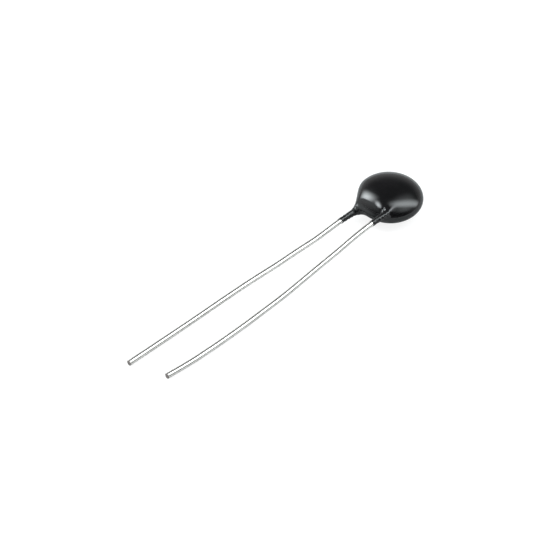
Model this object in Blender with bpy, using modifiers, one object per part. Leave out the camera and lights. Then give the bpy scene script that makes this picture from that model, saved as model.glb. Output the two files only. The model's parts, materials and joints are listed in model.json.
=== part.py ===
"""Leaded disc thermistor with a dipped epoxy coat, lying as it comes to rest.

A sintered ceramic disc has a fired silver electrode on each flat face. A tinned copper wire is soldered
across each electrode, and both wires leave the head side by side. The head is dipped in epoxy, which
rounds it off like a pebble, bridges the root of the leads and runs a little way along each wire.

The disc lies flat, its leads point along -Y, and the part stands on the XY plane. The origin is below the
middle of the whole part.
"""

import math

import bmesh
import bpy
import numpy as np
from mathutils import Matrix, Vector

MM = 0.001

# Coated head
BODY_DIAMETER = 10.0 * MM
FACE_WALL = 1.1 * MM
RIM_WALL = 0.7 * MM
SHOULDER_TAPER = 0.085
SHOULDER_START = 0.8 * MM
SHOULDER_LENGTH = 3.0 * MM
SHOULDER_WIDTH = 1.5 * MM

# Ceramic disc and its electrodes
CERAMIC_THICKNESS = 0.7 * MM
CERAMIC_EDGE = 0.1 * MM
ELECTRODE_MARGIN = 0.3 * MM
ELECTRODE_THICKNESS = 0.03 * MM

# Leads, whose lengths are measured from the rim of the head
WIRE_DIAMETER = 0.8 * MM
TOP_LEAD_INSET = 1.2 * MM
BOTTOM_LEAD_INSET = 2.055 * MM
LEAD_INNER_END = 0.9 * MM
TOP_LEAD_LENGTH = 40.7 * MM
BOTTOM_LEAD_LENGTH = 42.9 * MM

# Solder mound at each electrode
SOLDER_LENGTH = 4.4 * MM
SOLDER_WETTING = 0.4 * MM
SOLDER_BARE_WIRE = 0.13 * MM
SOLDER_FILM = 0.06 * MM

# Gap kept between pieces that touch on the real part
CLEARANCE = 0.02 * MM

# Epoxy that runs along the leads, measured from the rim of the head
TOP_RUN_LENGTH = 1.67 * MM
BOTTOM_RUN_LENGTH = 3.13 * MM
TOP_RUN_SLANT = math.radians(4.0)
BOTTOM_RUN_SLANT = math.radians(35.0)
RUN_END_WALL = 0.04 * MM
RUN_ROOT_WALL = 0.08 * MM
RIDGE_REACH = 1.2 * MM
TOP_FILLET = 0.8 * MM
BOTTOM_FILLET = 1.7 * MM
RUN_SPARE = 0.5 * MM
RUN_STATIONS = 14
TRIM_SPREAD = 4

# Fineness of the solids
COAT_VOXEL = 0.2 * MM
COAT_KEEP = 0.45
SETTLE_STEPS = 6
SLOPE_PROBE = 0.001 * MM
SLOPE_FLOOR = 0.05
DISC_SEGMENTS = 64
MOUND_SEGMENTS = 32
WIRE_SIDES = 16
WIRE_STEP = 1.2 * MM
WELD = 0.0001 * MM
TINY = 1e-9

# Each free lead as (share of its free length, sideways drift, share of its fall that is left)
TOP_ROUTE = [
    (0.00, 0.02 * MM, 1.00),
    (0.09, 0.07 * MM, 0.89),
    (0.18, 0.13 * MM, 0.70),
    (0.27, 0.18 * MM, 0.54),
    (0.36, 0.24 * MM, 0.37),
    (0.45, 0.29 * MM, 0.21),
    (0.54, 0.32 * MM, 0.12),
    (0.63, 0.36 * MM, 0.05),
    (0.72, 0.38 * MM, 0.01),
    (0.81, 0.39 * MM, 0.00),
    (0.90, 0.34 * MM, 0.01),
    (1.00, 0.10 * MM, 0.03),
]
BOTTOM_ROUTE = [
    (0.00, -0.04 * MM, 1.00),
    (0.06, -0.12 * MM, 0.73),
    (0.12, -0.19 * MM, 0.48),
    (0.22, -0.20 * MM, 0.50),
    (0.31, -0.25 * MM, 0.40),
    (0.41, -0.24 * MM, 0.52),
    (0.50, -0.27 * MM, 0.50),
    (0.60, -0.31 * MM, 0.39),
    (0.72, -0.38 * MM, 0.20),
    (0.84, -0.44 * MM, 0.09),
    (1.00, -0.49 * MM, 0.00),
]

# Sizes and places that follow from the ones above
BODY_RADIUS = BODY_DIAMETER / 2
WIRE_RADIUS = WIRE_DIAMETER / 2
CERAMIC_DIAMETER = BODY_DIAMETER - 2 * RIM_WALL
ELECTRODE_DIAMETER = CERAMIC_DIAMETER - 2 * ELECTRODE_MARGIN
ELECTRODE_BASE = CERAMIC_THICKNESS / 2 + CLEARANCE
SOLDER_BASE = ELECTRODE_BASE + ELECTRODE_THICKNESS + CLEARANCE
SOLDER_WIDTH = WIRE_DIAMETER + 2 * SOLDER_WETTING
SOLDER_HEIGHT = SOLDER_FILM + CLEARANCE + WIRE_DIAMETER - SOLDER_BARE_WIRE
LEAD_OFFSET = SOLDER_BASE + SOLDER_FILM + CLEARANCE + WIRE_RADIUS
BODY_THICKNESS = 2 * (LEAD_OFFSET + WIRE_RADIUS + FACE_WALL)
MID_HEIGHT = BODY_THICKNESS / 2
DISC_Y = max(TOP_LEAD_LENGTH, BOTTOM_LEAD_LENGTH) / 2
HEAD_CENTRE = Vector((0.0, DISC_Y, MID_HEIGHT))

# What differs between the lead on the upper face and the one on the lower face
SIDES = {
    "top": {
        "up": 1,
        "x": ELECTRODE_DIAMETER / 2 - TOP_LEAD_INSET,
        "reach": BODY_RADIUS + TOP_LEAD_LENGTH,
        "run": BODY_RADIUS + TOP_RUN_LENGTH,
        "slant": TOP_RUN_SLANT,
        "fillet": TOP_FILLET,
        "route": TOP_ROUTE,
    },
    "bottom": {
        "up": -1,
        "x": BOTTOM_LEAD_INSET - ELECTRODE_DIAMETER / 2,
        "reach": BODY_RADIUS + BOTTOM_LEAD_LENGTH,
        "run": BODY_RADIUS + BOTTOM_RUN_LENGTH,
        "slant": BOTTOM_RUN_SLANT,
        "fillet": BOTTOM_FILLET,
        "route": BOTTOM_ROUTE,
    },
}

COLOURS = {
    "epoxy": ((0.012, 0.012, 0.014), 0.12, 0.0),
    "ceramic": ((0.06, 0.055, 0.05), 0.7, 0.0),
    "silver": ((0.78, 0.77, 0.74), 0.4, 1.0),
    "solder": ((0.62, 0.63, 0.65), 0.3, 1.0),
    "tinned_wire": ((0.80, 0.80, 0.81), 0.22, 1.0),
}


def clear_scene():
    """Empty the scene, so that the part is all there is."""
    for obj in list(bpy.data.objects):
        bpy.data.objects.remove(obj, do_unlink=True)


def new_collection(name):
    """A collection of its own under the scene."""
    collection = bpy.data.collections.new(name)
    bpy.context.scene.collection.children.link(collection)
    return collection


def finish_material(name):
    """A plain Principled material with the finish's colour, roughness and metallic value."""
    material = bpy.data.materials.get(name)
    if material is None:
        colour, roughness, metallic = COLOURS[name]
        material = bpy.data.materials.new(name)
        material.use_nodes = True
        shader = material.node_tree.nodes["Principled BSDF"]
        shader.inputs["Base Color"].default_value = (*colour, 1.0)
        shader.inputs["Roughness"].default_value = roughness
        shader.inputs["Metallic"].default_value = metallic
    return material


def add_piece(name, mesh, finish, collection):
    """A visible piece of the part, with its own finish."""
    piece = bpy.data.objects.new(name, mesh)
    mesh.materials.clear()
    mesh.materials.append(finish_material(finish))
    collection.objects.link(piece)
    return piece


def add_cutter(name, mesh, collection):
    """A solid that only cuts other solids."""
    cutter = bpy.data.objects.new(name, mesh)
    cutter.display_type = "WIRE"
    cutter.hide_render = True
    collection.objects.link(cutter)
    return cutter


def cut(piece, cutter):
    """Take the cutter's volume out of the piece."""
    boolean = piece.modifiers.new("Cut " + cutter.name, "BOOLEAN")
    boolean.operation = "DIFFERENCE"
    boolean.solver = "EXACT"
    boolean.object = cutter


def evaluated_mesh(obj):
    """The object's mesh with its modifiers, in world space, as new data."""
    bpy.context.view_layer.update()
    depsgraph = bpy.context.evaluated_depsgraph_get()
    mesh = bpy.data.meshes.new_from_object(obj.evaluated_get(depsgraph), depsgraph=depsgraph)
    mesh.transform(obj.matrix_world)
    return mesh


def mesh_from(build, name):
    """New mesh data filled by a function that works on a BMesh."""
    shape = bmesh.new()
    build(shape)
    bmesh.ops.recalc_face_normals(shape, faces=shape.faces)
    mesh = bpy.data.meshes.new(name)
    shape.to_mesh(mesh)
    shape.free()
    return mesh


def disc_mesh(name, diameter, low, high, edge=0.0):
    """A flat round disc on the head's axis, between two heights from the head's middle."""

    def build(shape):
        place = Matrix.Translation(HEAD_CENTRE + Vector((0.0, 0.0, (low + high) / 2)))
        bmesh.ops.create_cone(
            shape,
            cap_ends=True,
            segments=DISC_SEGMENTS,
            radius1=diameter / 2,
            radius2=diameter / 2,
            depth=high - low,
            matrix=place,
        )
        if edge > 0.0:
            rims = [e for e in shape.edges if abs(e.verts[0].co.z - e.verts[1].co.z) < edge / 2]
            bmesh.ops.bevel(shape, geom=rims, offset=edge, segments=2, profile=0.5, affect="EDGES")

    return mesh_from(build, name)


def mound_mesh(name, side, grow=0.0):
    """A solder mound: the outer half of an ellipsoid that stands on the electrode under the wire."""
    up = side["up"]
    foot = HEAD_CENTRE + Vector((side["x"], 0.0, up * (SOLDER_BASE - grow)))

    def build(shape):
        stretch = Matrix.Diagonal(
            (SOLDER_WIDTH / 2 + grow, SOLDER_LENGTH / 2 + grow, SOLDER_HEIGHT + 2 * grow, 1.0)
        )
        bmesh.ops.create_uvsphere(
            shape,
            u_segments=MOUND_SEGMENTS,
            v_segments=MOUND_SEGMENTS // 2,
            radius=1.0,
            matrix=Matrix.Translation(foot) @ stretch,
        )
        halves = bmesh.ops.bisect_plane(
            shape,
            geom=shape.verts[:] + shape.edges[:] + shape.faces[:],
            dist=TINY,
            plane_co=foot,
            plane_no=(0.0, 0.0, -up),
            clear_outer=True,
        )
        rim = [e for e in halves["geom_cut"] if isinstance(e, bmesh.types.BMEdge)]
        bmesh.ops.contextual_create(shape, geom=rim)

    return mesh_from(build, name)


def smooth_route(points, step):
    """Points about one step apart on a Catmull-Rom curve through the given points."""
    knots = np.vstack([2 * points[0] - points[1], points, 2 * points[-1] - points[-2]])
    route = []
    for before, start, end, after in zip(knots, knots[1:], knots[2:], knots[3:]):
        count = max(1, round(float(np.linalg.norm(end - start)) / step))
        for t in np.arange(count) / count:
            route.append(
                0.5
                * (
                    2 * start
                    + (end - before) * t
                    + (2 * before - 5 * start + 4 * end - after) * t**2
                    + (3 * start - 3 * end + after - before) * t**3
                )
            )
    route.append(points[-1])
    return np.array(route)


def lead_route(side, inner_grow=0.0):
    """Centre line of one lead, from its end on the electrode to its cut tip."""
    height = MID_HEIGHT + side["up"] * LEAD_OFFSET
    points = [(side["x"], DISC_Y + LEAD_INNER_END + inner_grow, height)]
    points.append((side["x"], DISC_Y - BODY_RADIUS / 2, height))
    for share, drift, fall in side["route"]:
        reach = side["run"] + share * (side["reach"] - side["run"])
        rise = WIRE_RADIUS + fall * (height - WIRE_RADIUS)
        points.append((side["x"] + drift, DISC_Y - reach, rise))
    return smooth_route(np.array(points), WIRE_STEP)


def wire_mesh(name, route, radius):
    """A round wire with flat ends along a route, made from a bevelled curve."""
    curve = bpy.data.curves.new(name, "CURVE")
    curve.dimensions = "3D"
    curve.bevel_depth = radius
    curve.bevel_resolution = WIRE_SIDES // 2 - 2
    curve.use_fill_caps = True
    spline = curve.splines.new("POLY")
    spline.points.add(len(route) - 1)
    spline.points.foreach_set("co", np.column_stack([route, np.ones(len(route))]).ravel())
    guide = bpy.data.objects.new(name, curve)
    bpy.context.scene.collection.objects.link(guide)
    mesh = evaluated_mesh(guide)
    bpy.data.objects.remove(guide, do_unlink=True)
    shape = bmesh.new()
    shape.from_mesh(mesh)
    bmesh.ops.remove_doubles(shape, verts=shape.verts, dist=WELD)
    bmesh.ops.recalc_face_normals(shape, faces=shape.faces)
    shape.to_mesh(mesh)
    shape.free()
    return mesh


def smooth_min(a, b, width):
    """The smaller of two distances, eased into a fillet where they differ by less than the width."""
    overlap = np.clip(1.0 - np.abs(a - b) / width, 0.0, 1.0)
    return np.minimum(a, b) - overlap**2 * width / 4


def ease(share):
    """Smoothstep: 0 below 0, 1 above 1, and level at both ends."""
    share = np.clip(share, 0.0, 1.0)
    return share**2 * (3 - 2 * share)


def pebble_distance(points):
    """Distance from the head's ellipsoid, negative inside.

    Its shoulder on the lower lead's side is drawn in a little, so that it runs straight to the lead.
    """
    radii = np.array([BODY_RADIUS, BODY_RADIUS, BODY_THICKNESS / 2])
    scaled = points / radii
    towards_lead = ease(-points[:, 0] / SHOULDER_WIDTH)
    drawn_in = towards_lead * ease((-points[:, 1] - SHOULDER_START) / SHOULDER_LENGTH)
    scaled[:, 0] *= 1.0 + SHOULDER_TAPER * drawn_in
    reach = np.linalg.norm(scaled, axis=1)
    slope = np.linalg.norm(scaled / radii, axis=1)
    return reach * (reach - 1.0) / np.maximum(slope, TINY)


def run_line(side):
    """Centre line of the epoxy sleeve on one lead, from where it leaves the pebble to past its end."""
    route = lead_route(side)[::-1]
    reach = np.linspace(RIDGE_REACH, side["run"] + RUN_SPARE, RUN_STATIONS)
    along = DISC_Y - reach
    return np.column_stack([np.interp(along, route[:, 1], route[:, axis]) for axis in range(3)])


def run_distance(points, side):
    """Distance from the epoxy sleeve on one lead, negative inside, which tapers towards its end."""
    line = run_line(side) - np.array(HEAD_CENTRE)
    start, end = line[:-1], line[1:]
    along = end - start
    offset = points[:, None, :] - start[None, :, :]
    t = np.clip((offset * along).sum(axis=2) / (along**2).sum(axis=1), 0.0, 1.0)
    gap = np.linalg.norm(offset - t[:, :, None] * along, axis=2).min(axis=1)
    rooted = ease((side["run"] + points[:, 1]) / (side["run"] - BODY_RADIUS))
    wall = RUN_END_WALL + (RUN_ROOT_WALL - RUN_END_WALL) * rooted
    return gap - (WIRE_RADIUS + CLEARANCE + wall)


def film_distance(points):
    """Distance from the epoxy film, negative inside: the pebble and both sleeves, eased together."""
    film = pebble_distance(points)
    for side in SIDES.values():
        film = smooth_min(film, run_distance(points, side), side["fillet"])
    return film


def settle(mesh):
    """Slide every vertex down the film's gradient until it lies on the film."""
    centre = np.array(HEAD_CENTRE)
    points = np.empty(len(mesh.vertices) * 3)
    mesh.vertices.foreach_get("co", points)
    points = points.reshape(-1, 3) - centre
    for _ in range(SETTLE_STEPS):
        here = film_distance(points)
        slope = np.empty_like(points)
        for axis, shift in enumerate(np.eye(3) * SLOPE_PROBE):
            rise = film_distance(points + shift) - film_distance(points - shift)
            slope[:, axis] = rise / (2 * SLOPE_PROBE)
        steep = np.maximum((slope**2).sum(axis=1), SLOPE_FLOOR)
        move = slope * (here / steep)[:, None]
        length = np.linalg.norm(move, axis=1)
        move *= np.minimum(1.0, COAT_VOXEL / np.maximum(length, TINY))[:, None]
        points -= move
    mesh.vertices.foreach_set("co", (points + centre).ravel())
    mesh.update()


def remeshed(mesh, kind, setting, value):
    """A copy of the mesh after a Remesh or Decimate modifier."""
    holder = bpy.data.objects.new("coat_blank", mesh)
    bpy.context.scene.collection.objects.link(holder)
    modifier = holder.modifiers.new(kind.title(), kind)
    if kind == "REMESH":
        modifier.mode = "VOXEL"
    setattr(modifier, setting, value)
    result = evaluated_mesh(holder)
    bpy.data.objects.remove(holder, do_unlink=True)
    return result


def coat_blank():
    """The dipped coat without its hollow: pebble and sleeves joined, then settled on to the film."""

    def build(shape):
        stretch = Matrix.Diagonal((BODY_RADIUS, BODY_RADIUS, BODY_THICKNESS / 2, 1.0))
        bmesh.ops.create_uvsphere(
            shape,
            u_segments=DISC_SEGMENTS,
            v_segments=DISC_SEGMENTS // 2,
            radius=1.0,
            matrix=Matrix.Translation(HEAD_CENTRE) @ stretch,
        )

    mesh = mesh_from(build, "coat_blank")
    shape = bmesh.new()
    shape.from_mesh(mesh)
    for key, side in SIDES.items():
        shape.from_mesh(wire_mesh(key + "_run", run_line(side), WIRE_RADIUS + CLEARANCE + RUN_ROOT_WALL))
    shape.to_mesh(mesh)
    shape.free()
    for _ in range(2):
        mesh = remeshed(mesh, "REMESH", "voxel_size", COAT_VOXEL)
        settle(mesh)
    mesh = remeshed(mesh, "DECIMATE", "ratio", COAT_KEEP)
    settle(mesh)
    return mesh


def trim_mesh(name, side):
    """A block whose face is the slanted end of the sleeve on one lead."""
    line = run_line(side)
    end = Vector(line[-1])
    onward = (end - Vector(line[-2])).normalized()
    end -= onward * RUN_SPARE
    turn = Matrix.Rotation(side["slant"], 4, "Z") @ onward.to_track_quat("Y", "Z").to_matrix().to_4x4()
    size = TRIM_SPREAD * (WIRE_RADIUS + RUN_SPARE)

    def build(shape):
        place = Matrix.Translation(end) @ turn @ Matrix.Translation((0.0, size / 2, 0.0))
        bmesh.ops.create_cube(shape, size=size, matrix=place)

    return mesh_from(build, name)


def make_coating(parts, cutters):
    """The epoxy coat, hollow where the disc, electrodes, solder and wires lie in it."""
    coat = add_piece("coating", coat_blank(), "epoxy", parts)
    half = CERAMIC_THICKNESS / 2 + CLEARANCE
    hollow = disc_mesh("disc_hollow", CERAMIC_DIAMETER + 2 * CLEARANCE, -half, half)
    cut(coat, add_cutter("disc_hollow", hollow, cutters))
    for key, side in SIDES.items():
        up = side["up"]
        faces = sorted((up * CERAMIC_THICKNESS / 2, up * SOLDER_BASE))
        hollow = disc_mesh(key + "_electrode_hollow", ELECTRODE_DIAMETER + 2 * CLEARANCE, *faces)
        cut(coat, add_cutter(key + "_electrode_hollow", hollow, cutters))
        hollow = mound_mesh(key + "_solder_hollow", side, grow=CLEARANCE)
        cut(coat, add_cutter(key + "_solder_hollow", hollow, cutters))
        route = lead_route(side, CLEARANCE)
        bore = wire_mesh(key + "_lead_bore", route[: len(route) // 2], WIRE_RADIUS + CLEARANCE)
        cut(coat, add_cutter(key + "_lead_bore", bore, cutters))
        cut(coat, add_cutter(key + "_run_trim", trim_mesh(key + "_run_trim", side), cutters))
    return coat


def make_element(parts):
    """The ceramic disc and its two electrodes."""
    half = CERAMIC_THICKNESS / 2
    disc = disc_mesh("ceramic_disc", CERAMIC_DIAMETER, -half, half, CERAMIC_EDGE)
    add_piece("ceramic_disc", disc, "ceramic", parts)
    for key, side in SIDES.items():
        up = side["up"]
        faces = sorted((up * ELECTRODE_BASE, up * (ELECTRODE_BASE + ELECTRODE_THICKNESS)))
        name = key + "_electrode"
        add_piece(name, disc_mesh(name, ELECTRODE_DIAMETER, *faces), "silver", parts)


def make_lead(key, side, parts, cutters):
    """One wire and the solder mound that it is bedded in."""
    lead = wire_mesh(key + "_lead", lead_route(side), WIRE_RADIUS)
    add_piece(key + "_lead", lead, "tinned_wire", parts)
    solder = add_piece(key + "_solder", mound_mesh(key + "_solder", side), "solder", parts)
    route = lead_route(side, CLEARANCE)
    groove = wire_mesh(key + "_solder_groove", route[: len(route) // 2], WIRE_RADIUS + CLEARANCE)
    cut(solder, add_cutter(key + "_solder_groove", groove, cutters))


def main():
    clear_scene()
    parts = new_collection("disc_thermistor")
    cutters = new_collection("cutters")
    make_element(parts)
    for key, side in SIDES.items():
        make_lead(key, side, parts, cutters)
    make_coating(parts, cutters)


main()
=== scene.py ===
"""Looks of a leaded disc thermistor: glossy black epoxy coat, bright tinned leads, plain white studio.

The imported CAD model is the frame. The coat and both leads are shown by finer surfaces that follow it, and
the disc, electrodes and solder inside the coat keep their CAD meshes with materials of their own.

Lengths are in metres. "Reach" is the distance from the middle of the disc towards the lead tips, along -Y.
"""

import json

import bpy
import numpy as np
from mathutils import Matrix, Vector

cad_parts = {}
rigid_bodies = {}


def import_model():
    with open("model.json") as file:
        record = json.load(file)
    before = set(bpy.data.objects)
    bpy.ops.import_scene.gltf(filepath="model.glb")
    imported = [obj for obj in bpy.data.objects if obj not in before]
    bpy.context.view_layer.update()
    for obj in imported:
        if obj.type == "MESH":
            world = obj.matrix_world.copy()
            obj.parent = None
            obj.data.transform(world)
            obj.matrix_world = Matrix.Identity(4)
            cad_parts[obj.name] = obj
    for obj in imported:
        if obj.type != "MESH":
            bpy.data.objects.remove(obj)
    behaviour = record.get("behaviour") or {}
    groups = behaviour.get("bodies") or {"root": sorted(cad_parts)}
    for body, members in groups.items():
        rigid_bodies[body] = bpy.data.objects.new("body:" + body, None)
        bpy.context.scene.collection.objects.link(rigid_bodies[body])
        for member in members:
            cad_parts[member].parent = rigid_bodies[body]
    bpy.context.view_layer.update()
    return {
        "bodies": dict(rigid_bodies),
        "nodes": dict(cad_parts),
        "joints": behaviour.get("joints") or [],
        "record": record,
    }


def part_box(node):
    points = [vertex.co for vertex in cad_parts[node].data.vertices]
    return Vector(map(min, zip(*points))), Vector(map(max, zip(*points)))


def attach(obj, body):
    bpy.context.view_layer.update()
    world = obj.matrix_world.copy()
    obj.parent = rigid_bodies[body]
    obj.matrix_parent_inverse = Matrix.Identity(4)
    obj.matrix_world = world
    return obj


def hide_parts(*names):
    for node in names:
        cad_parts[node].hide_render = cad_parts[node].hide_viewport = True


MM = 0.001
TINY = 1e-9
SHORTEST = 1e-12

# Camera, fitted to the photograph
CAMERA_PLACE = Vector((122.99, -116.35, 172.80)) * MM
CAMERA_AIM = Vector((-1.48, -0.24, 0.0)) * MM
CAMERA_LENS = 111.35
CAMERA_NEAR = 0.01
SENSOR_WIDTH = 36.0

# Finishes: the two tones that drift and the size of their patches, the roughness from smooth to rough spots,
# the size and depth of the grain, how far it is drawn out along the part, and how metallic the surface is
FINISHES = {
    "epoxy": {
        "tones": ((0.0035, 0.0036, 0.0040), (0.0055, 0.0052, 0.0058)),
        "patch": 3.0 * MM,
        "roughness": (0.07, 0.11),
        "grain": 0.6 * MM,
        "relief": 0.002 * MM,
    },
    "tinned_wire": {
        "tones": ((0.82, 0.80, 0.77), (0.74, 0.72, 0.69)),
        "patch": 1.5 * MM,
        "roughness": (0.14, 0.20),
        "grain": 0.12 * MM,
        "relief": 0.0015 * MM,
        "stretch": 14.0,
        "metallic": 0.95,
    },
    "ceramic": {
        "tones": ((0.060, 0.055, 0.050), (0.038, 0.035, 0.033)),
        "patch": 1.2 * MM,
        "roughness": (0.55, 0.75),
        "grain": 0.08 * MM,
        "relief": 0.006 * MM,
    },
    "silver": {
        "tones": ((0.78, 0.77, 0.74), (0.66, 0.64, 0.60)),
        "patch": 0.8 * MM,
        "roughness": (0.35, 0.55),
        "grain": 0.06 * MM,
        "relief": 0.003 * MM,
        "metallic": 1.0,
    },
    "solder": {
        "tones": ((0.62, 0.63, 0.65), (0.50, 0.51, 0.52)),
        "patch": 0.9 * MM,
        "roughness": (0.20, 0.36),
        "grain": 0.25 * MM,
        "relief": 0.01 * MM,
        "metallic": 1.0,
    },
}
INNER_FINISHES = {"ceramic_disc": "ceramic", "electrode": "silver", "solder": "solder"}
GRAIN_NOISE = {"Detail": 4.0, "Roughness": 0.55}
GRAIN_SPREAD = {"From Min": 0.3, "From Max": 0.7}
PATCH_NOISE = {"Detail": 2.0}
PATCH_SPREAD = {"From Min": 0.35, "From Max": 0.65}
SLEEVE_REACH = (6.0 * MM, 3.6 * MM)
SLEEVE_ROUGHNESS = 0.14
# Dull bare metal of the cut face, also laid over the rolled rim, where it is painted shade
CUT_FACE_AND_RIM_SHADE_TONE = (0.29, 0.26, 0.25)
CUT_ROUGHNESS = 0.55

# Studio. A softbox spans from one way to another as seen from the head, and the ways are (right of the
# camera, away from it, up). Then come its width in degrees, its radiance, and how soft its edges are.
SOFTBOXES = {
    "left_softbox": ((-0.777, 0.622, 0.091), (-0.321, 0.138, 0.937), 34.6, 12.5, (1.0, 1.0)),
    "left_strip": ((-0.381, 0.245, 0.892), (-0.359, -0.356, 0.863), 16.5, 13.8, (1.0, 1.0)),
    "left_fill": ((-0.568, 0.790, 0.231), (-0.428, -0.731, 0.531), 88.0, 1.1, (1.0, 1.0)),
    "right_softbox": ((-0.085, -0.082, 0.993), (0.988, 0.154, 0.030), 36.3, 5.2, (0.6, 1.0)),
    "right_fill": ((0.000, -0.446, 0.895), (0.878, 0.308, 0.366), 76.0, 1.6, (1.0, 0.8)),
}
LAMP_TONE = (0.92, 0.98, 1.0)
SOFTBOX_DISTANCE = 0.6
MIDDLE = 0.5
HEAD_Y = 21.4 * MM
LOW_GLOSS = 0.6
HIGH_GLOSS = 0.10
FRONT_GLOSS = 0.15
FRONT_REACH = (-0.7, 0.1)
DARK_ABOVE = 0.6
DIFFUSE_SKY = 0.2
FLOOR_HALF = 3.0
FLOOR_ROUGHNESS = 0.9
FLOOR_TONE = 0.8
FLOOR_IN_GLOSS = 0.52
FLOOR_SHADED = 0.2
FLOOR_LIFT = 0.86

# Epoxy film: the CAD source's forms, with a narrower fillet on the near lead. A sleeve ends in a rounded lip
# whose edge wanders.
SHOULDER_TAPER = 0.085
SHOULDER_START = 0.8 * MM
SHOULDER_LENGTH = 3.0 * MM
SHOULDER_WIDTH = 1.5 * MM
RUN_END_WALL = 0.04 * MM
RUN_ROOT_WALL = 0.08 * MM
RUN_ROOT_REACH = 5.0 * MM
RUN_SPARE = 0.6 * MM
RIDGE_REACH = 1.2 * MM
FILLETS = {"top_lead": 0.35 * MM, "bottom_lead": 1.7 * MM}
FILM_INSET = 0.012 * MM
BORE_GAP = 0.004 * MM
LIP_LENGTH = 0.12 * MM
LIP_FLOOR = 0.02
LIP_WANDER = 0.07 * MM
LIP_TURN = 2.5

# The film sags between the leads, and lumps gather on the sleeves
SAG_DEPTH = 0.3 * MM
SAG_START = 3.9 * MM
SAG_LENGTH = 1.0 * MM
SAG_HEIGHT = 0.6 * MM
SAG_SIDES = ((-2.8 * MM, 1.6 * MM), (3.0 * MM, -0.6 * MM))
LUMP_SIZE = 0.55 * MM
LUMP_DEPTH = 0.033 * MM
LUMP_START = 2.4 * MM
LUMP_LENGTH = 1.2 * MM
LUMP_WIDTH = 0.9 * MM
LUMP_SEED = 5
LIP_SEED = 3

# Grid of the coat. The head's rows stop at a clear angle from each lead's exit, and a root's first row is
# exp(-ROOT_TAU) times as far from the exit as the next. The crowding draws columns to the side between the
# leads. A sleeve or wire is followed by its stations, and a probe measures how steep a distance is.
COLUMNS = 256
HEAD_ROWS = 128
BLEND_ROWS = 26
RUN_ROW_STEP = 0.09 * MM
HEAD_ROW_CLEAR = 0.30
BLEND_REACH = 1.3 * MM
FRONT_CROWDING = 0.6
RELAX_STEPS = 40
FIRST_SETTLES = 8
LAST_SETTLES = 3
SETTLE_REACH = 0.3 * MM
STEEP_FLOOR = 0.1
SLEEVE_STATIONS = 14
WIRE_STATIONS = 12
LINE_STEP = 0.3 * MM
ROOT_TAU = 3.0
HOLLOW_ROWS = 40
HOLLOW_ROW_STEP = 0.25 * MM
HOLLOW_LIFTS = (0.35, -0.35)
HOLLOW_RELAX_STEPS = 20
PROBE = 0.001 * MM
LEADS = ("top_lead", "bottom_lead")

# Grid of a lead. The middle of the tip's fan is the last vertex but one.
TIP_MIDDLE = -2
WIRE_COLUMNS = 48
WIRE_ROW_STEP = 0.12 * MM
RING_GAP = 0.3 * MM
SAME_PLACE_DIGITS = 8
TIP_RADII = (0.3, 0.6, 0.8, 0.90, 0.96, 0.99, 1.0)
TIP_BACK = (0.0, 0.006, 0.014, 0.03, 0.07, 0.12, 0.2)
CUT_SLOPE = 0.1
CUT_STRETCH = 1.0 * MM
WAVE_LENGTH = 2.4 * MM
WAVE_DEPTH = 0.006 * MM
WAVE_SEED = 11

# Random waves: how many, how far their lengths spread, and the gain that brings their sum to about -1 to 1
RIPPLE_WAVES = 12
RIPPLE_SPREAD = (0.7, 1.5)
RIPPLE_GAIN = 0.8


def grid_mesh(name, points, ring_of_rows=False):
    """A closed mesh on a grid of points (rows, columns, 3) whose columns close on themselves.

    Every four neighbouring points make a face. Either the last row joins the first one, which makes a ring of
    rows, or each of those two rows is closed by a fan of its own.
    """
    rows, columns = points.shape[:2]
    index = np.arange(rows * columns).reshape(rows, columns)
    if ring_of_rows:
        index = np.vstack([index, index[:1]])
    right = np.roll(index, -1, axis=1)
    quads = np.stack([index[:-1], right[:-1], right[1:], index[1:]], axis=-1).reshape(-1, 4)
    vertices = points.reshape(-1, 3)
    loops = quads.ravel()
    sizes = np.full(len(quads), 4)
    if not ring_of_rows:
        first, last = len(vertices), len(vertices) + 1
        vertices = np.vstack([vertices, points[0].mean(axis=0), points[-1].mean(axis=0)])
        front = np.stack([right[0], index[0], np.full(columns, first)], axis=-1)
        back = np.stack([index[-1], right[-1], np.full(columns, last)], axis=-1)
        loops = np.concatenate([loops, front.ravel(), back.ravel()])
        sizes = np.concatenate([sizes, np.full(2 * columns, 3)])
    mesh = bpy.data.meshes.new(name)
    mesh.vertices.add(len(vertices))
    mesh.vertices.foreach_set("co", vertices.astype(np.float32).ravel())
    mesh.loops.add(len(loops))
    mesh.loops.foreach_set("vertex_index", loops.astype(np.int32))
    mesh.polygons.add(len(sizes))
    mesh.polygons.foreach_set("loop_start", (sizes.cumsum() - sizes).astype(np.int32))
    mesh.polygons.foreach_set("use_smooth", np.ones(len(sizes), dtype=bool))
    mesh.update(calc_edges=True)
    mesh.validate()
    return mesh


def outward(mesh):
    """Turn the faces of a closed mesh outwards, by the sign of the volume that they enclose."""
    mesh.calc_loop_triangles()
    corners = np.empty(len(mesh.loop_triangles) * 3, dtype=np.int32)
    mesh.loop_triangles.foreach_get("vertices", corners)
    places = np.empty(len(mesh.vertices) * 3)
    mesh.vertices.foreach_get("co", places)
    a, b, c = places.reshape(-1, 3)[corners].reshape(-1, 3, 3).transpose(1, 0, 2)
    if np.einsum("ij,ij->i", a, np.cross(b, c)).sum() < 0:
        mesh.flip_normals()
    return mesh


def add_piece(name, mesh, material, node):
    """Show a finished mesh in place of a CAD node."""
    mesh.materials.append(material)
    piece = bpy.data.objects.new(name, outward(mesh))
    bpy.context.scene.collection.objects.link(piece)
    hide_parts(node)
    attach(piece, "root")
    return piece


def unit(vectors):
    """Vectors of length one along the last axis."""
    return vectors / np.maximum(np.linalg.norm(vectors, axis=-1, keepdims=True), SHORTEST)


def ease(share):
    """Smoothstep: 0 below 0, 1 above 1, and level at both ends."""
    share = np.clip(share, 0.0, 1.0)
    return share**2 * (3 - 2 * share)


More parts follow.
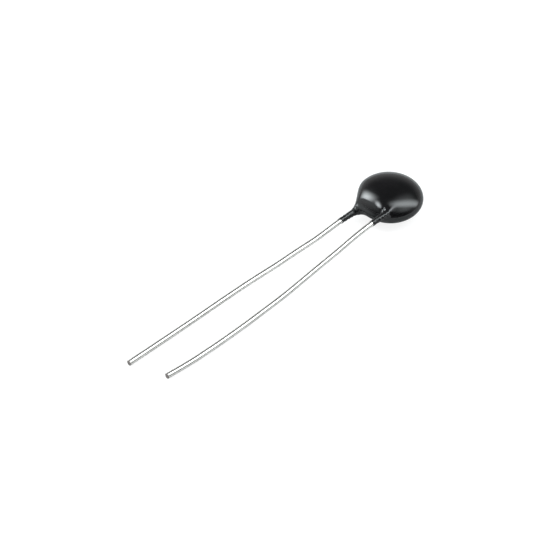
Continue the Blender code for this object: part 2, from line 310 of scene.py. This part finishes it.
def ripple(points, wavelength, seed):
    """A smooth random field of about -1 to 1: a sum of sine waves in random directions."""
    rng = np.random.default_rng(seed)
    directions = unit(rng.normal(size=(RIPPLE_WAVES, 3)))
    lengths = wavelength * rng.uniform(*RIPPLE_SPREAD, RIPPLE_WAVES)
    phases = rng.uniform(0.0, 2 * np.pi, RIPPLE_WAVES)
    turns = points @ (directions / lengths[:, None]).T * 2 * np.pi + phases
    return np.sin(turns).sum(axis=-1) / np.sqrt(RIPPLE_WAVES) * RIPPLE_GAIN


def node_points(node):
    """The vertices of a CAD node."""
    mesh = node.data
    places = np.empty(len(mesh.vertices) * 3)
    mesh.vertices.foreach_get("co", places)
    return places.reshape(-1, 3)


def node_corners(node):
    """The places of a CAD node's vertices, each place once."""
    return np.unique(np.round(node_points(node), SAME_PLACE_DIGITS), axis=0)


def node_tip(node):
    """The middle of a CAD lead's cut face."""
    points = node_corners(node)
    face = points[points[:, 1] < points[:, 1].min() + RING_GAP]
    return (face.min(axis=0) + face.max(axis=0)) / 2


def smooth_line(knots, step):
    """Points about one step apart on a Catmull-Rom curve through the knots.

    Between two knots the curve is the cubic whose slope at each knot is half the way between its neighbours.
    """
    ends = np.vstack([2 * knots[0] - knots[1], knots, 2 * knots[-1] - knots[-2]])
    length = np.concatenate([[0.0], np.linalg.norm(np.diff(knots, axis=0), axis=1).cumsum()])
    count = int(round(length[-1] / step)) + 1
    place = np.interp(np.linspace(0.0, length[-1], count), length, np.arange(len(knots)))
    span = np.minimum(place.astype(int), len(knots) - 2)
    t = (place - span)[:, None]
    before, start, end, after = (ends[span + shift] for shift in range(4))
    return 0.5 * (
        2 * start
        + (end - before) * t
        + (2 * before - 5 * start + 4 * end - after) * t**2
        + (3 * start - 3 * end + after - before) * t**3
    )


def lead_line(node):
    """Centre line of a CAD lead from its tip to its inner end: the middle of each ring of its vertices."""
    points = node_corners(node)
    points = points[np.argsort(points[:, 1])]
    ring = np.concatenate([[0], (np.diff(points[:, 1]) > RING_GAP).cumsum()])
    rings = [points[ring == number] for number in range(ring[-1] + 1)]
    middles = np.array([(places.min(axis=0) + places.max(axis=0)) / 2 for places in rings])
    radius = np.linalg.norm(rings[-1] - middles[-1], axis=1).max()
    return smooth_line(middles, LINE_STEP), radius


class Lead:
    """One lead as the frame has it, in coordinates whose origin is the middle of the head."""

    def __init__(self, node, coat, centre):
        line, self.radius = lead_line(node)
        self.line = line - centre
        self.x, _, self.z = self.line[-1]
        across = coat[:, 0] - np.interp(coat[:, 1], self.line[:, 1], self.line[:, 0])
        reaches = []
        for side in (-1, 1):
            beside = (across * side > 0) & (across * side < 2 * self.radius)
            reaches.append(-coat[beside, 1].min())
        self.run = (reaches[0] + reaches[1]) / 2
        self.slant = (reaches[1] - reaches[0]) / 2 / (self.radius + RUN_END_WALL)
        self.fillet = FILLETS[node.name]
        low, high = (np.array(corner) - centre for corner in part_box(node.name.replace("lead", "solder")))
        self.mound = (low + high) / 2
        self.mound[2] = low[2] if self.z > 0 else high[2]
        self.mound_radii = (high - low) / np.array([2, 2, 1])

    def end_reach(self, across):
        """Reach of the sleeve's slanted end at a distance to one side of the wire's middle."""
        return self.run + self.slant * across

    def at_reach(self, reach):
        """The point of the centre line at a reach."""
        places = [np.interp(-np.asarray(reach), self.line[:, 1], self.line[:, axis]) for axis in range(3)]
        return np.stack(places, axis=-1)


class Head:
    """The coated head as the frame has it: where its middle lies, its radii and its leads."""

    def __init__(self, frame):
        low, high = (np.array(corner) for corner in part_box("coating"))
        self.radii = np.array([high[0] - low[0], high[0] - low[0], high[2] - low[2]]) / 2 - FILM_INSET
        self.centre = np.array([(low[0] + high[0]) / 2, high[1] - self.radii[1], (low[2] + high[2]) / 2])
        self.centre[1] -= FILM_INSET
        coat = node_points(frame["nodes"]["coating"]) - self.centre
        self.leads = [Lead(frame["nodes"][name], coat, self.centre) for name in LEADS]
        self.discs = []
        for name in ("ceramic_disc", "top_electrode"):
            corner = np.array(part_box(name)[1]) - self.centre
            self.discs.append((corner[0], corner[2]))


def pebble(head, points):
    """Distance from the head's ellipsoid and the way out of it; one shoulder is drawn in a little."""
    drawn_in = ease(-points[:, 0] / SHOULDER_WIDTH) * ease((-points[:, 1] - SHOULDER_START) / SHOULDER_LENGTH)
    scaled = points / head.radii
    scaled[:, 0] *= 1.0 + SHOULDER_TAPER * drawn_in
    reach = np.linalg.norm(scaled, axis=1)
    slope = scaled / head.radii
    return reach * (reach - 1.0) / np.maximum(np.linalg.norm(slope, axis=1), TINY), unit(slope)


def sleeve(lead, points):
    """Distance from the epoxy sleeve on a lead and the way out of it: a tube whose wall thins to its end."""
    line = lead.at_reach(np.linspace(RIDGE_REACH, lead.run + RUN_SPARE, SLEEVE_STATIONS))
    gap = np.full(len(points), np.inf)
    way = np.zeros_like(points)
    for start, end in zip(line, line[1:]):
        along = end - start
        offset = points - start
        share = np.clip(offset @ along / (along @ along), 0.0, 1.0)
        offset = offset - share[:, None] * along
        distance = np.linalg.norm(offset, axis=1)
        closer = distance < gap
        gap = np.where(closer, distance, gap)
        way = np.where(closer[:, None], offset, way)
    rooted = ease((lead.run + points[:, 1]) / (lead.run - RUN_ROOT_REACH))
    wall = RUN_END_WALL + (RUN_ROOT_WALL - RUN_END_WALL) * rooted
    back = np.clip((lead.end_reach(way[:, 0]) + points[:, 1]) / LIP_LENGTH, LIP_FLOOR, 1.0)
    return gap - lead.radius - BORE_GAP - wall * np.sqrt(back * (2.0 - back)), unit(way)


def smooth_union(first, second, width):
    """The smaller of two distances, eased into a fillet where they differ by less than the width."""
    (a, way_a), (b, way_b) = first, second
    overlap = np.clip(1.0 - np.abs(a - b) / width, 0.0, 1.0)
    share_b = np.where(b < a, 1.0 - overlap / 2, overlap / 2)[:, None]
    return np.minimum(a, b) - overlap**2 * width / 4, way_a * (1.0 - share_b) + way_b * share_b


def sag(points):
    """How far the film sinks between the leads: a smooth step in reach, in height and at either side."""
    depth = SAG_DEPTH * ease((-points[:, 1] - SAG_START) / SAG_LENGTH) * ease(points[:, 2] / SAG_HEIGHT)
    for place, width in SAG_SIDES:
        depth = depth * ease((points[:, 0] - place) / width)
    return depth


def film(head, points):
    """Distance from the epoxy film and the way out of it: the sagging pebble eased into both sleeves."""
    distance, way = pebble(head, points)
    surface = distance + sag(points), way
    for lead in head.leads:
        surface = smooth_union(surface, sleeve(lead, points), lead.fillet)
    return surface


def lumps(head, points):
    """Depth of the hollows between lumps on the sleeves, less than 0 on a lump: a field of random waves that
    fades away from the wires, and towards the head and the sleeves' ends.
    """
    flat = points.reshape(-1, 3)
    close = np.zeros(len(flat))
    for lead in head.leads:
        across = np.linalg.norm((flat - lead.at_reach(-flat[:, 1]))[:, ::2], axis=1) - lead.radius
        near = ease(1.0 - across / LUMP_WIDTH) * ease((-flat[:, 1] - LUMP_START) / LUMP_LENGTH)
        close = np.maximum(close, near * ease((lead.run + RUN_SPARE / 2 + flat[:, 1]) / LUMP_LENGTH))
    depth = LUMP_DEPTH * close * np.clip(ripple(flat, LUMP_SIZE, LUMP_SEED), -1.0, 1.0)
    return depth.reshape(points.shape[:-1])


def settle(surface, points, steps=1):
    """Slide grid points on to a surface: each step moves them by their distance along the way out."""
    flat = points.reshape(-1, 3).copy()
    for _ in range(steps):
        distance, way = surface(flat)
        steep = np.maximum((way**2).sum(axis=1), STEEP_FLOOR)
        move = np.clip(distance / steep, -SETTLE_REACH, SETTLE_REACH)
        flat -= way * move[:, None]
    return flat.reshape(points.shape)


def relax(surface, points, held, steps):
    """Even a grid out: every point but the held rows moves to the mean of its neighbours, then settles."""
    for _ in range(steps):
        mean = points.copy()
        mean[1:-1] = (points[:-2] + points[2:]) / 4
        mean[1:-1] += (np.roll(points, 1, axis=1) + np.roll(points, -1, axis=1))[1:-1] / 4
        mean[:held[0]] = points[:held[0]]
        mean[-held[1]:] = points[-held[1]:]
        points = settle(surface, mean)
    return points


def ring_on_sphere(exits, tau, sigma):
    """Circles on the unit sphere round one exit or the other, all but reaching both.

    The sphere is seen from the point opposite the exits' middle, as a stereographic picture whose plane has
    the exits at +a and -a. Points with the same ratio of distances to them, exp(-tau), make a circle there
    and on the sphere, and sigma is the angle at which both exits are seen.
    """
    middle = unit(exits[0] + exits[1])
    across = unit(exits[0] - exits[1])
    aside = np.cross(middle, across)
    a = np.tan(np.arccos(exits[0] @ exits[1]) / 4)
    w = np.exp(-tau[:, None] + 1j * sigma[None, :])
    z = a * (1 + w) / (1 - w)
    spread = np.abs(z) ** 2
    parts = (1 - spread)[..., None] * middle + 2 * z.real[..., None] * across + 2 * z.imag[..., None] * aside
    return parts / (1 + spread)[..., None]


def tube_over_head(head, radii, lifts, wire_gap, rows, row_step, spokes=None):
    """A tube from the end of one sleeve over the head to the end of the other, as a grid.

    The head's rows are circles round the exits of the leads, spread over an ellipsoid. A sleeve's rows are
    rings round its wire, and they pass into the head's rows at its root. The spokes are the ways in which
    the points of a sleeve's rows lie from its wire: they come from the head's rows, or are given for the end.
    """
    exits = []
    for lead, lift in zip(head.leads, lifts):
        x = lead.x / radii[0]
        exits.append(np.array([x, -np.sqrt(1.0 - x**2 - lift**2), lift]))
    half = np.arccos(exits[0] @ exits[1]) / 2
    turn = np.linspace(0.0, 2 * np.pi, COLUMNS, endpoint=False)
    sigma = turn - FRONT_CROWDING * np.sin(turn)
    front = np.linspace(half - HEAD_ROW_CLEAR, HEAD_ROW_CLEAR - half, rows)
    tau = 2 * np.arctanh(np.tan(front / 2) / np.tan(half / 2))
    blocks = [ring_on_sphere(exits, tau, sigma) * radii]
    held, used = [], []
    for number, (lead, way_out) in enumerate(zip(head.leads, exits)):
        exit_reach = -way_out[1] * radii[1]
        share = np.linspace(0.0, 1.0, BLEND_ROWS, endpoint=False)
        side = 1 if number == 0 else -1
        root = ring_on_sphere(exits, side * (tau[0] + ROOT_TAU * (1.0 - share)), sigma) * radii
        ways = root - lead.at_reach(exit_reach)
        ways[..., 1] = 0.0
        ways = unit(ways)
        rings = lead.at_reach(exit_reach + BLEND_REACH * (1.0 - share))[:, None, :]
        rings = rings + (lead.radius + wire_gap) * ways
        mixed = ease(share)[:, None, None]
        root = rings * (1.0 - mixed) + root * mixed
        run_count = int((lead.run - exit_reach - BLEND_REACH) / row_step)
        end_ways = ways[0] if spokes is None else spokes[number]
        share = np.linspace(0.0, 1.0, run_count, endpoint=False)[:, None]
        end = lead.end_reach((lead.radius + RUN_END_WALL) * end_ways[:, 0])
        end = end + LIP_WANDER * ripple(end_ways, LIP_TURN, LIP_SEED + number)
        reach = end * (1.0 - share) + (exit_reach + BLEND_REACH) * share
        ways = unit(end_ways * (1.0 - share[..., None]) + ways[0] * share[..., None])
        run = lead.at_reach(reach) + (lead.radius + wire_gap) * ways
        block = np.concatenate([run, root])
        blocks = [block, *blocks] if number == 0 else [*blocks, block[::-1]]
        held.append(run_count)
        used.append(end_ways)
    return np.concatenate(blocks), held, used


def content(head, points):
    """Distance from what lies in the coat and the way out of it: the disc, electrodes, solder and wires."""

    def distance(places):
        across = np.linalg.norm(places[:, :2], axis=1)
        gap = np.full(len(places), np.inf)
        for radius, height in head.discs:
            beyond = np.stack([across - radius, np.abs(places[:, 2]) - height])
            outside = np.linalg.norm(np.maximum(beyond, 0.0), axis=0)
            gap = np.minimum(gap, np.minimum(beyond.max(axis=0), 0.0) + outside)
        for lead in head.leads:
            offset = (places - lead.mound) / lead.mound_radii
            reach = np.linalg.norm(offset, axis=1)
            slope = np.linalg.norm(offset / lead.mound_radii, axis=1)
            gap = np.minimum(gap, reach * (reach - 1.0) / np.maximum(slope, TINY))
            inner_reach = -lead.line[-1, 1]
            line = lead.at_reach(np.linspace(inner_reach, lead.run + RUN_SPARE, WIRE_STATIONS))
            for start, end in zip(line, line[1:]):
                along = end - start
                share = np.clip((places - start) @ along / (along @ along), 0.0, 1.0)
                wire = np.linalg.norm(places - start - share[:, None] * along, axis=1)
                gap = np.minimum(gap, wire - lead.radius)
        return gap - BORE_GAP

    probes = np.eye(3) * PROBE
    slope = np.stack([distance(points + probe) - distance(points - probe) for probe in probes], axis=1)
    return distance(points), unit(slope)


def coat_points(head):
    """The coat as a ring of rows: the settled film outside, turned in at each sleeve's end, and the hollow.

    The hollow is a second tube that settles on what lies in the coat.
    """

    def outside(points):
        return film(head, points)

    def inside(points):
        return content(head, points)

    lifts = [lead.z / head.radii[2] for lead in head.leads]
    outer, held, spokes = tube_over_head(
        head, head.radii, lifts, RUN_ROOT_WALL, HEAD_ROWS, RUN_ROW_STEP
    )
    outer = relax(outside, settle(outside, outer, FIRST_SETTLES), held, RELAX_STEPS)
    outer = settle(outside, outer, LAST_SETTLES)
    ways_out = unit(outside(outer.reshape(-1, 3))[1]).reshape(outer.shape)
    outer = outer - lumps(head, outer)[..., None] * ways_out
    disc_radius, disc_height = head.discs[0]
    hollow_radii = np.array([disc_radius, disc_radius, 2 * disc_height])
    inner, held, _ = tube_over_head(
        head, hollow_radii, HOLLOW_LIFTS, BORE_GAP, HOLLOW_ROWS, HOLLOW_ROW_STEP, spokes
    )
    inner = relax(inside, settle(inside, inner, FIRST_SETTLES), held, HOLLOW_RELAX_STEPS)
    return np.concatenate([outer, inner[::-1]]) + head.centre


def make_coat(frame, material):
    """The coat in place of its CAD node."""
    head = Head(frame)
    mesh = grid_mesh("epoxy_coat", coat_points(head), ring_of_rows=True)
    return add_piece("epoxy_coat", mesh, material, "coating")


def lead_points(node):
    """A drawn wire on a grid: rings across its centre line, with a slanted cut face at the tip.

    A ring's radius is the wire's, less a shallow random wave. The first rings lie on the cut face, each a
    share of the radius wide and set back from the tip by its own share, so that the face's rim is rolled.
    Every point is moved back along the wire by the cut's slope times its height over the wire's underside,
    and this fades out along the first stretch of the wall.
    """
    line, radius = lead_line(node)
    line = smooth_line(line, WIRE_ROW_STEP)
    along = unit(np.gradient(line, axis=0))
    side = unit(np.cross(along, [0.0, 0.0, 1.0]))
    up = np.cross(side, along)
    turn = np.linspace(0.0, 2 * np.pi, WIRE_COLUMNS, endpoint=False)
    rings = np.cos(turn)[None, :, None] * side[:, None, :] + np.sin(turn)[None, :, None] * up[:, None, :]
    wall = line[:, None, :] + radius * rings
    wave = WAVE_DEPTH * (0.5 - 0.5 * ripple(wall, WAVE_LENGTH, WAVE_SEED))
    wall = wall - wave[..., None] * rings
    shares = np.array(TIP_RADII)[:, None, None]
    tip = node_tip(node) + np.array(TIP_BACK)[:, None, None] * radius * along[0] + radius * shares * rings[0]
    tip = tip + CUT_SLOPE * radius * (1.0 + shares * np.sin(turn)[:, None]) * along[0]
    stretch = np.arange(len(wall))[:, None] * WIRE_ROW_STEP / CUT_STRETCH
    moved = CUT_SLOPE * radius * (1.0 + np.sin(turn)) * np.maximum(1.0 - stretch, 0.0)
    wall = wall + moved[..., None] * along[0]
    return np.concatenate([tip, wall[1:]])


def make_lead(frame, name, material):
    """A lead in place of its CAD node, with an attribute that is 1 on the cut face and on its rolled rim,
    where the dark tone is painted shade.
    """
    points = lead_points(frame["nodes"][name])
    mesh = grid_mesh("tinned_" + name, points)
    cut = np.zeros(len(mesh.vertices), dtype=np.float32)
    # All the tip's rows, the rolled rim included, take the cut face's dark tone: on the rim it is painted
    # shade
    cut[:len(TIP_RADII) * WIRE_COLUMNS] = 1.0
    cut[TIP_MIDDLE] = 1.0
    mesh.attributes.new("cut_face_and_rim_shade", "FLOAT", "POINT").data.foreach_set("value", cut)
    return add_piece("tinned_" + name, mesh, material, name)


def add_node(tree, kind, inputs=None, **settings):
    """A node with its settings, and with its inputs set to values or linked from other nodes' outputs."""
    node = tree.nodes.new(kind)
    for name, value in settings.items():
        setattr(node, name, value)
    for name, value in (inputs or {}).items():
        if isinstance(value, bpy.types.NodeSocket):
            tree.links.new(value, node.inputs[name])
        else:
            node.inputs[name].default_value = value
    return node


def new_group(name, inputs, outputs):
    """An empty shader node group with its sockets: the group, its input node and its output node."""
    group = bpy.data.node_groups.new(name, "ShaderNodeTree")
    for label, kind in inputs:
        group.interface.new_socket(label, in_out="INPUT", socket_type=kind)
    for label, kind in outputs:
        group.interface.new_socket(label, in_out="OUTPUT", socket_type=kind)
    return group, group.nodes.new("NodeGroupInput"), group.nodes.new("NodeGroupOutput")


def grain_group():
    """Fine grain: a noise height of 0 to 1, and the same spread between a low and a high value."""
    group, given, result = new_group(
        "surface_grain",
        [
            ("Vector", "NodeSocketVector"),
            ("Scale", "NodeSocketFloat"),
            ("Low", "NodeSocketFloat"),
            ("High", "NodeSocketFloat"),
        ],
        [("Value", "NodeSocketFloat"), ("Height", "NodeSocketFloat")],
    )
    noise = add_node(
        group,
        "ShaderNodeTexNoise",
        {"Vector": given.outputs["Vector"], "Scale": given.outputs["Scale"], **GRAIN_NOISE},
    )
    spread = add_node(
        group,
        "ShaderNodeMapRange",
        {
            "Value": noise.outputs["Fac"],
            **GRAIN_SPREAD,
            "To Min": given.outputs["Low"],
            "To Max": given.outputs["High"],
        },
    )
    group.links.new(spread.outputs["Result"], result.inputs["Value"])
    group.links.new(noise.outputs["Fac"], result.inputs["Height"])
    return group


def drift_group():
    """Slow drift of a colour: noise that leads from one tone to another in soft patches."""
    group, given, result = new_group(
        "tone_drift",
        [
            ("Vector", "NodeSocketVector"),
            ("Scale", "NodeSocketFloat"),
            ("Tone", "NodeSocketColor"),
            ("Other Tone", "NodeSocketColor"),
        ],
        [("Color", "NodeSocketColor")],
    )
    noise = add_node(
        group,
        "ShaderNodeTexNoise",
        {"Vector": given.outputs["Vector"], "Scale": given.outputs["Scale"], **PATCH_NOISE},
    )
    patch = add_node(
        group,
        "ShaderNodeMapRange",
        {"Value": noise.outputs["Fac"], **PATCH_SPREAD},
        interpolation_type="SMOOTHSTEP",
    )
    mix = add_node(
        group,
        "ShaderNodeMix",
        {"Factor": patch.outputs["Result"], "A": given.outputs["Tone"], "B": given.outputs["Other Tone"]},
        data_type="RGBA",
    )
    group.links.new(mix.outputs["Result"], result.inputs["Color"])
    return group


class Finish:
    """A Principled material whose tone drifts and whose roughness and relief have grain."""

    def __init__(self, name, groups):
        look = FINISHES[name]
        self.material = bpy.data.materials.new(name)
        self.material.use_nodes = True
        self.tree = self.material.node_tree
        self.shader = self.tree.nodes["Principled BSDF"]
        self.shader.inputs["Metallic"].default_value = look.get("metallic", 0.0)
        self.place = add_node(self.tree, "ShaderNodeTexCoord").outputs["Object"]
        tone, other = ((*colour, 1.0) for colour in look["tones"])
        drift = add_node(
            self.tree,
            "ShaderNodeGroup",
            {"Vector": self.place, "Scale": 1.0 / look["patch"], "Tone": tone, "Other Tone": other},
            node_tree=groups["drift"],
        )
        drawn = add_node(
            self.tree,
            "ShaderNodeMapping",
            {"Vector": self.place, "Scale": (1.0, 1.0 / look.get("stretch", 1.0), 1.0)},
        )
        low, high = look["roughness"]
        grain = add_node(
            self.tree,
            "ShaderNodeGroup",
            {"Vector": drawn.outputs["Vector"], "Scale": 1.0 / look["grain"], "Low": low, "High": high},
            node_tree=groups["grain"],
        )
        self.colour = drift.outputs["Color"]
        self.roughness = grain.outputs["Value"]
        self.bump = add_node(
            self.tree, "ShaderNodeBump", {"Distance": look["relief"], "Height": grain.outputs["Height"]}
        )

    def finished(self):
        """Link the last colour, roughness and relief to the shader."""
        self.tree.links.new(self.colour, self.shader.inputs["Base Color"])
        self.tree.links.new(self.roughness, self.shader.inputs["Roughness"])
        self.tree.links.new(self.bump.outputs["Normal"], self.shader.inputs["Normal"])
        return self.material


def epoxy_material(groups):
    """Glossy black epoxy with a faint orange peel, rougher where it thins out along the wires."""
    finish = Finish("epoxy", groups)
    split = add_node(finish.tree, "ShaderNodeSeparateXYZ", {"Vector": finish.place})
    thin = add_node(
        finish.tree,
        "ShaderNodeMapRange",
        {
            "Value": split.outputs["Y"],
            "From Min": HEAD_Y - SLEEVE_REACH[1],
            "From Max": HEAD_Y - SLEEVE_REACH[0],
            "To Max": SLEEVE_ROUGHNESS,
        },
        interpolation_type="SMOOTHSTEP",
    )
    total = add_node(
        finish.tree, "ShaderNodeMath", {0: finish.roughness, 1: thin.outputs["Result"]}, operation="ADD"
    )
    finish.roughness = total.outputs[0]
    return finish.finished()


def wire_material(groups):
    """Bright tinned copper wire with faint drawing lines, and dull bare metal on its cut face; the same dark
    tone is laid over the rolled rim as painted shade.
    """
    finish = Finish("tinned_wire", groups)
    cut = add_node(finish.tree, "ShaderNodeAttribute", attribute_name="cut_face_and_rim_shade").outputs["Fac"]
    colour = add_node(
        finish.tree,
        "ShaderNodeMix",
        {"Factor": cut, "A": finish.colour, "B": (*CUT_FACE_AND_RIM_SHADE_TONE, 1.0)},
        data_type="RGBA",
    )
    rough = add_node(finish.tree, "ShaderNodeMix", {"Factor": cut, "A": finish.roughness, "B": CUT_ROUGHNESS})
    finish.colour = colour.outputs["Result"]
    finish.roughness = rough.outputs["Result"]
    return finish.finished()


def inner_materials(groups):
    """Finishes of what lies in the coat: pressed oxide ceramic, fired silver paste and tin solder."""
    return {part: Finish(name, groups).finished() for part, name in INNER_FINISHES.items()}


def dress_inner_parts(frame, materials):
    """Give the CAD meshes in the coat their finishes."""
    for name, node in frame["nodes"].items():
        for part, material in materials.items():
            if name.endswith(part):
                node.data.materials.clear()
                node.data.materials.append(material)


def make_camera():
    """The camera at the photograph's place, aim and angle of view."""
    camera = bpy.data.objects.new("camera", bpy.data.cameras.new("camera"))
    bpy.context.scene.collection.objects.link(camera)
    camera.location = CAMERA_PLACE
    camera.rotation_euler = (CAMERA_AIM - CAMERA_PLACE).to_track_quat("-Z", "Y").to_euler()
    camera.data.sensor_width = SENSOR_WIDTH
    camera.data.lens = CAMERA_LENS
    camera.data.clip_start = CAMERA_NEAR
    bpy.context.scene.camera = camera
    return camera


def studio_way(away_from_camera):
    """A direction given as (right of the camera, away from it on the level, up), in world coordinates."""
    right_part, away_part, up_part = away_from_camera
    ahead = CAMERA_AIM - CAMERA_PLACE
    ahead.z = 0.0
    ahead.normalize()
    right = ahead.cross(Vector((0.0, 0.0, 1.0)))
    return (right * right_part + ahead * away_part + Vector((0.0, 0.0, up_part))).normalized()


def make_softbox(name, start, end, width, radiance, soft):
    """An area light that spans from one way to another as seen from the head, and dims towards its edges.

    Its brightness is the product of two smoothsteps, which rise from 0 at its edges to 1 within the soft
    share of its half length and of its half width. Its own coordinates run from 0 to 1 both ways.
    """
    first, last = studio_way(start), studio_way(end)
    centre = (first + last).normalized()
    along = (last - first).normalized()
    data = bpy.data.lights.new(name, "AREA")
    data.shape = "RECTANGLE"
    data.size = (last - first).length / first.dot(centre) * SOFTBOX_DISTANCE
    data.size_y = 2 * np.tan(np.radians(width) / 2) * SOFTBOX_DISTANCE
    data.energy = radiance * np.pi * data.size * data.size_y
    data.color = LAMP_TONE
    data.use_nodes = True
    tree = data.node_tree
    place = add_node(tree, "ShaderNodeNewGeometry").outputs["Parametric"]
    split = add_node(tree, "ShaderNodeSeparateXYZ", {"Vector": place})
    fades = []
    for axis, edge in zip(("X", "Y"), soft):
        middle = add_node(tree, "ShaderNodeMath", {0: split.outputs[axis], 1: MIDDLE}, operation="SUBTRACT")
        reach = add_node(tree, "ShaderNodeMath", {0: middle.outputs[0]}, operation="ABSOLUTE")
        fade = add_node(
            tree,
            "ShaderNodeMapRange",
            {"Value": reach.outputs[0], "From Min": MIDDLE, "From Max": MIDDLE * (1 - edge)},
            interpolation_type="SMOOTHSTEP",
        )
        fades.append(fade.outputs["Result"])
    share = add_node(tree, "ShaderNodeMath", {0: fades[0], 1: fades[1]}, operation="MULTIPLY")
    tree.links.new(share.outputs[0], tree.nodes["Emission"].inputs["Strength"])
    light = bpy.data.objects.new(name, data)
    bpy.context.scene.collection.objects.link(light)
    light.location = centre * SOFTBOX_DISTANCE + Vector((0.0, HEAD_Y, 0.0))
    towards = Matrix((along, centre.cross(along), centre)).transposed()
    light.rotation_euler = towards.to_euler()
    light.visible_camera = False
    return light


def make_world():
    """White to the camera, a plain fill for diffuse light, and a dim studio in reflections.

    In reflections it is pale low down and dark above, and it dims towards the camera's side.
    """
    world = bpy.data.worlds.new("studio")
    bpy.context.scene.world = world
    world.use_nodes = True
    tree = world.node_tree
    way = add_node(tree, "ShaderNodeTexCoord").outputs["Generated"]
    split = add_node(tree, "ShaderNodeSeparateXYZ", {"Vector": way})
    height = add_node(
        tree,
        "ShaderNodeMapRange",
        {"Value": split.outputs["Z"], "From Max": DARK_ABOVE, "To Min": LOW_GLOSS, "To Max": HIGH_GLOSS},
        interpolation_type="SMOOTHSTEP",
    )
    away = add_node(
        tree, "ShaderNodeVectorMath", {0: way, 1: studio_way((0.0, 1.0, 0.0))}, operation="DOT_PRODUCT"
    )
    front = add_node(
        tree,
        "ShaderNodeMapRange",
        {
            "Value": away.outputs["Value"],
            "From Min": FRONT_REACH[0],
            "From Max": FRONT_REACH[1],
            "To Min": FRONT_GLOSS,
        },
        interpolation_type="SMOOTHSTEP",
    )
    level = add_node(
        tree,
        "ShaderNodeMath",
        {0: height.outputs["Result"], 1: front.outputs["Result"]},
        operation="MULTIPLY",
    )
    path = add_node(tree, "ShaderNodeLightPath").outputs
    glossy = add_node(
        tree, "ShaderNodeMix", {"Factor": path["Is Glossy Ray"], "A": DIFFUSE_SKY, "B": level.outputs[0]}
    )
    strength = add_node(
        tree, "ShaderNodeMix", {"Factor": path["Is Camera Ray"], "A": glossy.outputs["Result"], "B": 1.0}
    )
    background = tree.nodes["Background"]
    background.inputs["Color"].default_value = (1.0, 1.0, 1.0, 1.0)
    tree.links.new(strength.outputs["Result"], background.inputs["Strength"])


def make_floor():
    """A pale floor that shows white to the camera apart from the part's shadow, and greyer in reflections."""
    mesh = bpy.data.meshes.new("floor")
    half = FLOOR_HALF
    corners = [(-half, -half, 0), (half, -half, 0), (half, half, 0), (-half, half, 0)]
    mesh.from_pydata(corners, [], [(0, 1, 2, 3)])
    floor = bpy.data.objects.new("floor", mesh)
    bpy.context.scene.collection.objects.link(floor)
    material = bpy.data.materials.new("floor")
    material.use_nodes = True
    tree = material.node_tree
    shader = tree.nodes["Principled BSDF"]
    shader.inputs["Roughness"].default_value = FLOOR_ROUGHNESS
    shader.inputs["Specular IOR Level"].default_value = 0.0
    shader.inputs["Emission Color"].default_value = (1.0, 1.0, 1.0, 1.0)
    path = add_node(tree, "ShaderNodeLightPath").outputs
    plain, reflected, shaded = ((*[tone] * 3, 1.0) for tone in (FLOOR_TONE, FLOOR_IN_GLOSS, FLOOR_SHADED))
    tone = add_node(
        tree, "ShaderNodeMix", {"Factor": path["Is Glossy Ray"], "A": plain, "B": reflected}, data_type="RGBA"
    )
    seen = add_node(
        tree,
        "ShaderNodeMix",
        {"Factor": path["Is Camera Ray"], "A": tone.outputs["Result"], "B": shaded},
        data_type="RGBA",
    )
    tree.links.new(seen.outputs["Result"], shader.inputs["Base Color"])
    lift = add_node(tree, "ShaderNodeMath", {0: path["Is Camera Ray"], 1: FLOOR_LIFT}, operation="MULTIPLY")
    tree.links.new(lift.outputs[0], shader.inputs["Emission Strength"])
    mesh.materials.append(material)
    return floor


def main():
    for obj in list(bpy.data.objects):
        bpy.data.objects.remove(obj, do_unlink=True)
    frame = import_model()
    groups = {"grain": grain_group(), "drift": drift_group()}
    make_coat(frame, epoxy_material(groups))
    wire = wire_material(groups)
    for name in LEADS:
        make_lead(frame, name, wire)
    dress_inner_parts(frame, inner_materials(groups))
    make_camera()
    make_floor()
    make_world()
    for name, (start, end, width, radiance, soft) in SOFTBOXES.items():
        make_softbox(name, start, end, width, radiance, soft)
    bpy.context.scene.view_settings.view_transform = "Standard"


main()
